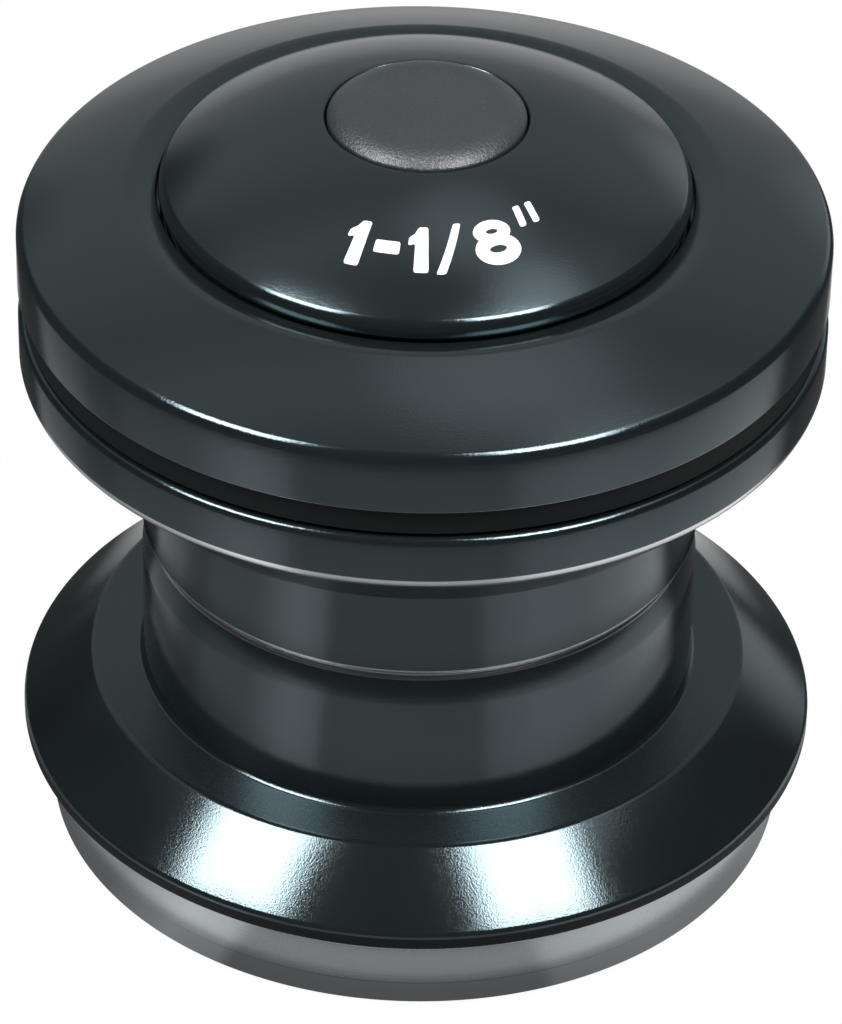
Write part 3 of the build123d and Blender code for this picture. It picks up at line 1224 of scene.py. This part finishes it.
@dataclass
class Studio:
    """The pale floor, the lamps, the dim room and the camera. Sizes are in metres unless stated."""

    softboxes: tuple[Softbox, ...] = (
        Softbox("softbox_left", towards=(-0.538, -0.255, 0.804), along=(-0.285, 0.264, -0.107),
                distance=0.55, length=0.221, width=0.23, radiance=17.0),
        Softbox("softbox_right", towards=(0.393, -0.367, 0.843), along=(0.334, 0.196, -0.07),
                distance=0.55, length=0.216, width=0.23, radiance=17.0),
    )
    target_height: float = 0.02

    # The room's patches, and its level by the direction's share along Y. It falls off towards the sides.
    pale_patches: tuple[RoomPatch, ...] = (
        RoomPatch((0.15, 0.27, 0.951), inner=4.0, outer=16.0, level=0.45),
        RoomPatch((0.6, 0.79, 0.1), inner=5.0, outer=16.0, level=0.45),
        RoomPatch((0.452, -0.04, 0.891), inner=3.0, outer=15.0, level=1.4),
    )
    dark_patch: RoomPatch = RoomPatch((-0.66, 0.73, 0.15), inner=10.0, outer=18.0, level=0.88)
    room_shares: tuple[tuple[float, float], ...] = (
        (-1.0, 0.03), (-0.3, 0.03), (0.0, 0.16), (0.2, 0.39), (0.43, 0.25), (0.7, 0.4), (1.0, 0.34),
    )
    side_share: float = 0.1
    side_start: float = 0.62
    side_full: float = 0.78

    # The mirrored floor's painted light and shade: its level by its angle from the front, in degrees, with
    # pools of light and the headset's shadow behind it, and by its radius, in millimetres, darker near the
    # foot as shade.
    painted_floor_by_angle: tuple[tuple[float, float], ...] = (
        (-180, 0.85), (-152, 0.85), (-142, 0.05), (-118, 0.05), (-116, 0.38), (-98, 0.35), (-92, 0.23),
        (-83, 0.21), (-77, 0.35), (-58, 0.42), (-42, 0.9), (-32, 0.72), (-30, 0.36), (21, 0.37), (24, 0.6),
        (42, 0.78), (60, 0.72), (90, 0.9), (98, 0.78), (106, 0.08), (140, 0.08), (150, 0.85), (180, 0.85),
    )
    painted_floor_by_radius: tuple[tuple[float, float], ...] = (
        (0.0, 0.1), (24.9, 0.32), (25.6, 0.8), (31.2, 0.82), (31.6, 0.05), (33.2, 0.08), (34.9, 1.0),
        (50.0, 1.0), (58.0, 0.9), (70.0, 0.88), (80.0, 0.82),
    )
    foot_reach: float = 100.0
    floor_gain: float = 1.12

    # Farther out the mirrored floor is painted dark as shade, but for a part straight behind, by the place's
    # share along Y.
    far_start: float = 0.092
    far_full: float = 0.106
    far_level: float = 0.5
    front_level: float = 0.06
    behind_start: float = 0.86
    behind_full: float = 0.95

    floor_size: float = 12.0
    floor_drop: float = 0.00005
    paper: float = 0.8
    white_share: float = 0.96

    # The camera, with its lens and sensor in millimetres.
    eye: tuple[float, float, float] = (0.00009, -0.29575, 0.23832)
    elevation: float = math.radians(36.43)
    roll: float = math.radians(1.1)
    lens: float = 210.1
    sensor: float = 36.0
    near_clip: float = 0.01

    def build(self) -> None:
        """Builds the whole studio."""
        self.build_floor()
        target = Vector((0, 0, self.target_height))
        for softbox in self.softboxes:
            softbox.build(target)
        self.build_room()
        self.build_camera()
        bpy.context.scene.view_settings.view_transform = "Standard"

    def build_floor(self) -> None:
        """Lays the floor: white to the eye with a soft shadow, and painted light and shade where metal
        mirrors it.
        """
        deselect()
        bpy.ops.mesh.primitive_plane_add(size=self.floor_size, location=(0, 0, -self.floor_drop))
        floor = bpy.context.active_object
        floor.name = "floor"
        material = bpy.data.materials.new("white_floor")
        material.use_nodes = True
        graph = Graph(material.node_tree)
        paper = graph.add("ShaderNodeBsdfDiffuse", Color=(self.paper, self.paper, self.paper, 1))
        rays = graph.add("ShaderNodeLightPath")
        bounced = graph.maths("MAXIMUM", rays.outputs["Is Glossy Ray"], rays.outputs["Is Transmission Ray"])
        mirrored = graph.maths("MULTIPLY", bounced, self.mirrored_floor(graph))
        level = graph.maths("ADD", rays.outputs["Is Camera Ray"], mirrored)
        light = graph.add("ShaderNodeEmission", Color=(1, 1, 1, 1), Strength=level)
        seen = graph.maths("MULTIPLY", rays.outputs["Is Camera Ray"], self.white_share)
        seen = graph.maths("MAXIMUM", seen, bounced)
        mixed = graph.add("ShaderNodeMixShader")
        graph.feed(mixed.inputs[0], seen)
        graph.feed(mixed.inputs[1], paper.outputs[0])
        graph.feed(mixed.inputs[2], light.outputs[0])
        end = graph.add("ShaderNodeOutputMaterial")
        graph.feed(end.inputs["Surface"], mixed.outputs[0])
        floor.data.materials.append(material)

    def mirrored_floor(self, graph: Graph) -> bpy.types.NodeSocket:
        """Works out how pale the floor looks in the metal: painted pools of light and painted shadow lie
        round the headset.

        Args:
            graph: the floor's graph.

        Returns:
            The level's socket.
        """
        place = graph.add("ShaderNodeSeparateXYZ", Vector=graph.add("ShaderNodeTexCoord").outputs["Object"])
        towards = graph.maths("MULTIPLY", place.outputs["Y"], -1.0)
        angle = graph.maths("ARCTAN2", place.outputs["X"], towards)
        painted_light_and_shadow = graph.steps(graph.spread(angle, 0.0, 1.0, -math.pi, math.pi),
                            [(0.5 + degrees / 360, level) for degrees, level in self.painted_floor_by_angle])
        radius = graph.off_axis(place)
        shade = graph.steps(graph.spread(radius, 0.0, 1.0, 0.0, self.foot_reach * MM),
                            [(at / self.foot_reach, level) for at, level in self.painted_floor_by_radius])
        near = graph.maths("MULTIPLY", graph.maths("MULTIPLY", painted_light_and_shadow, shade), self.floor_gain)
        far = graph.spread(radius, 0.0, 1.0, self.far_start, self.far_full)
        behind = graph.maths("DIVIDE", place.outputs["Y"], radius)
        distant = graph.spread(behind, self.front_level, self.far_level, self.behind_start, self.behind_full)
        return graph.maths("ADD", graph.maths("MULTIPLY", near, graph.maths("SUBTRACT", 1.0, far)),
                           graph.maths("MULTIPLY", far, distant))

    def build_room(self) -> None:
        """Fills the room with dim light, darker in front and at the sides, and with soft patches."""
        world = bpy.data.worlds.new("dim_room")
        bpy.context.scene.world = world
        world.use_nodes = True
        graph = Graph(world.node_tree)
        way = graph.add("ShaderNodeTexCoord").outputs["Generated"]
        parts = graph.add("ShaderNodeSeparateXYZ", Vector=way)
        depth = graph.steps(graph.spread(parts.outputs["Y"], 0.0, 1.0, -1.0, 1.0),
                            [((place + 1) / 2, level) for place, level in self.room_shares])
        across = graph.maths("ABSOLUTE", parts.outputs["X"])
        sides = graph.spread(across, 1.0, self.side_share, self.side_start, self.side_full)
        remaining = graph.maths("SUBTRACT", 1.0, self.dark_patch.level_at(graph, way))
        level = graph.maths("MULTIPLY", graph.maths("MULTIPLY", depth, sides), remaining)
        for patch in self.pale_patches:
            level = graph.maths("ADD", level, patch.level_at(graph, way))
        dim = graph.add("ShaderNodeBackground", Color=(1, 1, 1, 1), Strength=level)
        end = graph.add("ShaderNodeOutputWorld")
        graph.feed(end.inputs["Surface"], dim.outputs[0])

    def build_camera(self) -> None:
        """Stands the camera where the photograph was taken from."""
        data = bpy.data.cameras.new("camera")
        data.sensor_fit = "VERTICAL"
        data.sensor_height = self.sensor
        data.lens = self.lens
        data.clip_start = self.near_clip
        camera = bpy.data.objects.new("camera", data)
        bpy.context.scene.collection.objects.link(camera)
        tilt = Matrix.Rotation(math.pi / 2 - self.elevation, 4, "X")
        camera.matrix_world = Matrix.Translation(self.eye) @ tilt @ Matrix.Rotation(self.roll, 4, "Z")
        bpy.context.scene.camera = camera


def main() -> None:
    """Builds and dresses every piece, then the studio."""
    logging.basicConfig(level=logging.INFO, format="%(name)s: %(message)s")
    effects = Effects()
    cap = TopCap()
    for part in (CrownRace(), LowerCup(), UpperCup(), BearingCover(), cap, CapPlug(), SizeMark(cap)):
        piece = part.build(effects)
        log.info("%s has %d faces", piece.name, len(piece.data.polygons))
    KeptNodes().dress(effects)
    Studio().build()


if __name__ == "__main__":
    main()
